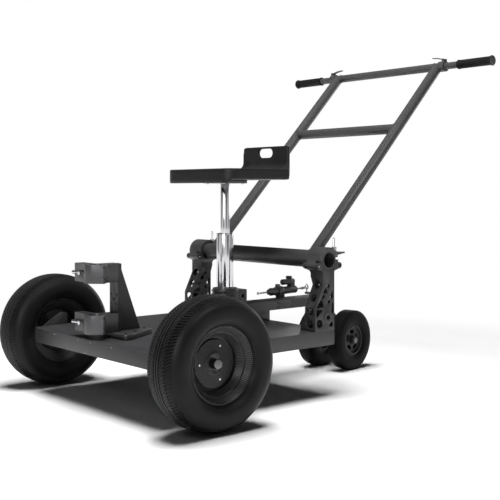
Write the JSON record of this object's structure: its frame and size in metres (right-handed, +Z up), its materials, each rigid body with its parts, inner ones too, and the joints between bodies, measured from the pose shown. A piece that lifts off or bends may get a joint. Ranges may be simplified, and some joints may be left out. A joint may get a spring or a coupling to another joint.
{
  "type": "camera rickshaw",
  "caption": "Low camera platform on two big tyres and a damped swivel caster, with a pipe clamp tower, a post seat and a long folding push handle.",
  "frame": {"origin": "on the floor, under the middle of the whole length and width", "axes": "+Z up; +Y to the rear, where the handle and the caster are; +X to the left of a rider who faces forwards; the front axle lies along X"},
  "size_m": [1.077, 1.5189, 1.2349],
  "materials": {
    "anodised": "fine matt black anodised",
    "satin": "satin dark grey anodised",
    "polished": "polished",
    "tyre": "black rubber, moulded tread",
    "grip": "black, slightly soft",
    "moulded": "black, fine grain"
  },
  "bodies": {
    "frame": {"deck": "anodised", "front_axle": "polished", "axle_nuts": "polished", "axle_plate_left": "anodised", "axle_plate_right": "anodised", "tower_base": "anodised", "tower_post": "anodised", "tower_gusset": "anodised", "pipe_saddle_upper": "satin", "pipe_saddle_lower": "satin", "hinge_pins": "polished", "spine_beam": "anodised", "beam_legs": "anodised", "steering_head": "anodised", "mast_foot": "anodised", "mast_tube": "polished", "bracket_left": "anodised", "bracket_right": "anodised", "damper_body": "satin", "damper_clamp": "satin", "damper_tank": "anodised"},
    "wheel_left": {"tyre_left": "tyre", "rim_left": "anodised", "hub_left": "anodised"},
    "wheel_right": {"tyre_right": "tyre", "rim_right": "anodised", "hub_right": "anodised"},
    "caster": {"caster_fork": "anodised", "steering_arm": "satin", "caster_axle": "polished"},
    "caster_wheel_left": {"small_tyre_left": "tyre", "small_disc_left": "moulded"},
    "caster_wheel_right": {"small_tyre_right": "tyre", "small_disc_right": "moulded"},
    "damper_rod": {"damper_rod": "polished"},
    "damper_knob": {"damper_knob": "moulded"},
    "pipe_gate_upper": {"pipe_gate_upper": "satin"},
    "pipe_gate_lower": {"pipe_gate_lower": "satin"},
    "pipe_lever_upper": {"pipe_lever_upper": "polished"},
    "pipe_lever_lower": {"pipe_lever_lower": "polished"},
    "seat_post": {"seat_post": "polished"},
    "seat": {"seat_plate": "satin", "seat_shell": "moulded"},
    "handle": {"cross_tube": "anodised", "handle_legs": "anodised", "crossbar": "anodised", "t_bar": "anodised", "snap_rings": "satin"},
    "grip_left": {"grip_tube_left": "anodised", "grip_left": "grip"},
    "grip_right": {"grip_tube_right": "anodised", "grip_right": "grip"},
    "snap_lever_left": {"snap_lever_left": "polished"},
    "snap_lever_right": {"snap_lever_right": "polished"},
    "cap_left": {"cap_left": "satin", "cap_screw_left": "polished"},
    "cap_right": {"cap_right": "satin", "cap_screw_right": "polished"},
    "cap_lever_left": {"cap_lever_left": "polished"},
    "cap_lever_right": {"cap_lever_right": "polished"}
  },
  "joints": [
    {"name": "wheel_left_spin", "type": "hinge", "parent": "frame", "child": "wheel_left", "pos_m": [0.4646, -0.5595, 0.2], "axis": [1, 0, 0], "continuous": true},
    {"name": "wheel_right_spin", "type": "hinge", "parent": "frame", "child": "wheel_right", "pos_m": [-0.4646, -0.5595, 0.2], "axis": [1, 0, 0], "continuous": true},
    {"name": "caster_swivel", "type": "hinge", "parent": "frame", "child": "caster", "pos_m": [0, 0.3365, 0.262], "axis": [0, 0, 1], "range_deg": [-31, 13]},
    {"name": "caster_wheel_left_spin", "type": "hinge", "parent": "caster", "child": "caster_wheel_left", "pos_m": [0.05493, 0.4586, 0.1163], "axis": [0.9877, 0.1564, 0], "continuous": true},
    {"name": "caster_wheel_right_spin", "type": "hinge", "parent": "caster", "child": "caster_wheel_right", "pos_m": [-0.08997, 0.43565, 0.1163], "axis": [0.9877, 0.1564, 0], "continuous": true},
    {"name": "damper_stroke", "type": "slide", "parent": "frame", "child": "damper_rod", "axis": [-0.1305, 0.9914, 0], "range_m": [-0.0125, 0.0289]},
    {"name": "knob_turn", "type": "hinge", "parent": "frame", "child": "damper_knob", "pos_m": [-0.03737, 0.21824, 0.37], "axis": [0, 0, 1], "range_deg": [-170, 170]},
    {"name": "pipe_gate_upper_hinge", "type": "hinge", "parent": "frame", "child": "pipe_gate_upper", "pos_m": [0.044, -0.6685, 0.4375], "axis": [0, 0, 1], "range_deg": [0, 120]},
    {"name": "pipe_lever_upper_turn", "type": "hinge", "parent": "pipe_gate_upper", "child": "pipe_lever_upper", "pos_m": [-0.058, -0.6885, 0.4375], "axis": [0, -1, 0], "range_deg": [-90, 90]},
    {"name": "pipe_gate_lower_hinge", "type": "hinge", "parent": "frame", "child": "pipe_gate_lower", "pos_m": [0.044, -0.6685, 0.2755], "axis": [0, 0, 1], "range_deg": [0, 120]},
    {"name": "pipe_lever_lower_turn", "type": "hinge", "parent": "pipe_gate_lower", "child": "pipe_lever_lower", "pos_m": [-0.058, -0.6885, 0.2755], "axis": [0, -1, 0], "range_deg": [-90, 60]},
    {"name": "seat_height", "type": "slide", "parent": "frame", "child": "seat_post", "axis": [0, 0, 1], "range_m": [-0.1, 0.08]},
    {"name": "seat_swivel", "type": "hinge", "parent": "seat_post", "child": "seat", "pos_m": [0, -0.1308, 0.731], "axis": [0, 0, 1], "continuous": true},
    {"name": "handle_fold", "type": "hinge", "parent": "frame", "child": "handle", "pos_m": [0, 0.0295, 0.468], "axis": [1, 0, 0], "range_deg": [-45, 50]},
    {"name": "grip_left_slide", "type": "slide", "parent": "handle", "child": "grip_left", "axis": [1, 0, 0], "range_m": [-0.05, 0.08]},
    {"name": "snap_lever_left_hinge", "type": "hinge", "parent": "handle", "child": "snap_lever_left", "pos_m": [0.305, 0.7385, 1.222], "axis": [0, 1, 0], "range_deg": [0, 100]},
    {"name": "cap_left_hinge", "type": "hinge", "parent": "frame", "child": "cap_left", "pos_m": [0.3315, -0.0175, 0.448], "axis": [1, 0, 0], "range_deg": [0, 110]},
    {"name": "cap_lever_left_hinge", "type": "hinge", "parent": "cap_left", "child": "cap_lever_left", "pos_m": [0.3397, 0.0795, 0.506], "axis": [1, 0, 0], "range_deg": [-85, 0]},
    {"name": "grip_right_slide", "type": "slide", "parent": "handle", "child": "grip_right", "axis": [-1, 0, 0], "range_m": [-0.05, 0.08]},
    {"name": "snap_lever_right_hinge", "type": "hinge", "parent": "handle", "child": "snap_lever_right", "pos_m": [-0.305, 0.7385, 1.222], "axis": [0, -1, 0], "range_deg": [0, 100]},
    {"name": "cap_right_hinge", "type": "hinge", "parent": "frame", "child": "cap_right", "pos_m": [-0.3315, -0.0175, 0.448], "axis": [1, 0, 0], "range_deg": [0, 110]},
    {"name": "cap_lever_right_hinge", "type": "hinge", "parent": "cap_right", "child": "cap_lever_right", "pos_m": [-0.3397, 0.0795, 0.506], "axis": [1, 0, 0], "range_deg": [-85, 0]}
  ],
  "couplings": [
    {"joint": "damper_stroke", "follows": "caster_swivel", "m_per_rad": -0.0525}
  ]
}
